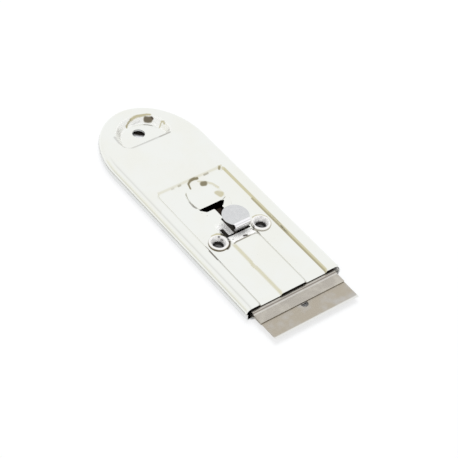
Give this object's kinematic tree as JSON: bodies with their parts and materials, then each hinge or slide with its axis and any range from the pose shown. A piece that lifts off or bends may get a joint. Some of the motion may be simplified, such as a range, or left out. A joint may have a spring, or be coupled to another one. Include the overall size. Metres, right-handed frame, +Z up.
{
  "type": "razor blade scraper",
  "caption": "Flat pocket scraper of stamped sheet metal with a thumb lever that slides a single-edge blade in and out between two covers.",
  "frame": {"origin": "middle of the covers' underside", "axes": "+Z up out of the top cover, +Y from the blade to the hang hole, +X to the right seen from behind the blade"},
  "size_m": [0.043, 0.1251, 0.0087],
  "materials": {
    "cover_nickel": "bright nickel plate on stamped steel sheet",
    "base_nickel": "bright nickel plate on stamped steel sheet",
    "eyelet_nickel": "polished nickel plate on a rolled tube",
    "carrier_steel": "bare steel with a fine drawn grain",
    "blade_steel": "ground blade steel with a brighter cutting bevel",
    "spine_steel": "folded bare steel strip",
    "rivet_steel": "bare steel rivet heads",
    "lever_steel": "polished spring steel with a satin thumb disc"
  },
  "bodies": {
    "cover": {"top_cover": "cover_nickel", "bottom_cover": "base_nickel", "eyelet_left": "eyelet_nickel", "eyelet_right": "eyelet_nickel"},
    "carrier": {"blade_carrier": "carrier_steel", "blade": "blade_steel", "blade_spine": "spine_steel", "lever_rivets": "rivet_steel"},
    "lever": {"thumb_lever": "lever_steel"}
  },
  "joints": [
    {"name": "carrier_slide", "type": "slide", "parent": "cover", "child": "carrier", "axis": [0, 1, 0], "range_m": [0, 0.0152]},
    {"name": "lever_press", "type": "hinge", "parent": "carrier", "child": "lever", "pos_m": [0, -0.0435, 0.00175], "axis": [-1, 0, 0], "range_deg": [0, 2.6], "stiffness_Nm_per_rad": 1.5, "springref_deg": -0.57}
  ]
}
